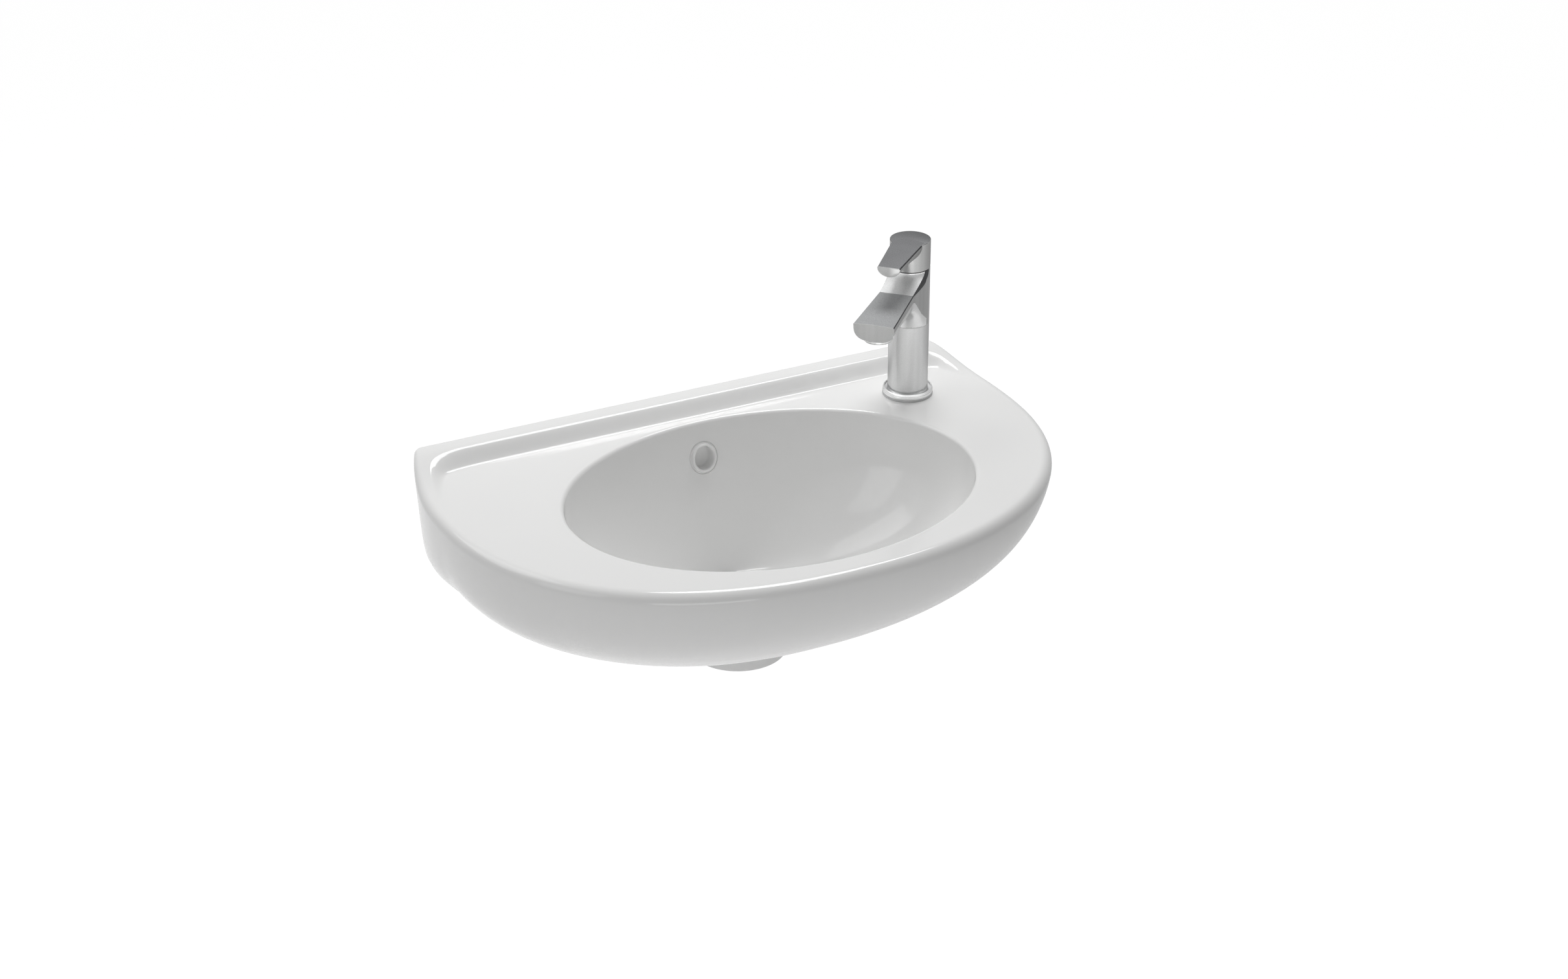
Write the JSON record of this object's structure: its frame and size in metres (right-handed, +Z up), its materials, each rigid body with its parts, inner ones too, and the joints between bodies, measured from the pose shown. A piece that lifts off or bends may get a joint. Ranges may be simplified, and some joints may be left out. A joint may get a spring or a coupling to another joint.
{
  "type": "oval wall-hung basin",
  "caption": "Wall-hung oval basin with a low upstand, an overflow, a push-open waste and a single-lever mixer tap on its right side.",
  "frame": {"origin": "on the wall face, on the basin's centre line, at the height of the deck", "axes": "+X to the right seen from the front, +Y into the wall, +Z up"},
  "size_m": [0.6, 0.38, 0.3808],
  "materials": {
    "ceramic": "white gloss glaze",
    "chrome": "polished",
    "satin": "fine satin",
    "steel": "plain",
    "brass": "turned",
    "seal": "matt",
    "gasket": "matt",
    "plastic": "moulded",
    "dark_plastic": "moulded",
    "disc": "lapped"
  },
  "bodies": {
    "basin": {"basin_body": "ceramic", "tap_body": "chrome", "base_ring": "chrome", "base_gasket": "gasket", "aerator_housing": "chrome", "aerator_insert": "dark_plastic", "aerator_seal": "seal", "cartridge_seal": "seal", "cartridge_body": "plastic", "fixed_disc": "disc", "cartridge_nut": "brass", "clamp_stud": "steel", "clamp_seal": "seal", "clamp_plate": "steel", "clamp_nut": "brass", "waste_body": "chrome", "waste_top_seal": "seal", "waste_lower_seal": "seal", "waste_backnut": "plastic", "plug_mechanism": "plastic"},
    "rotor": {"rotor": "plastic", "pivot_pin": "steel"},
    "handle": {"handle": "chrome", "spindle": "steel", "handle_screw": "steel", "handle_stopper": "chrome"},
    "disc": {"moving_disc": "disc", "disc_carrier": "plastic"},
    "plug": {"plug_cover": "chrome", "plug_stem": "steel", "plug_seal": "seal", "plug_spring": "steel"}
  },
  "joints": [
    {"name": "handle_swivel", "type": "hinge", "parent": "basin", "child": "rotor", "pos_m": [0.21, -0.076, 0.124], "axis": [0, 0, 1], "range_deg": [-45, 45]},
    {"name": "handle_lift", "type": "hinge", "parent": "rotor", "child": "handle", "pos_m": [0.21, -0.076, 0.136], "axis": [-0.7071, 0.7071, 0], "range_deg": [0, 22]},
    {"name": "disc_slide", "type": "slide", "parent": "rotor", "child": "disc", "axis": [-0.7071, -0.7071, 0], "range_m": [0, 0.0055]},
    {"name": "plug_slide", "type": "slide", "parent": "basin", "child": "plug", "axis": [0, 0, 1], "range_m": [0, 0.008], "deforming": ["plug_spring"]}
  ],
  "couplings": [
    {"joint": "disc_slide", "follows": "handle_lift", "m_per_rad": 0.01414}
  ]
}
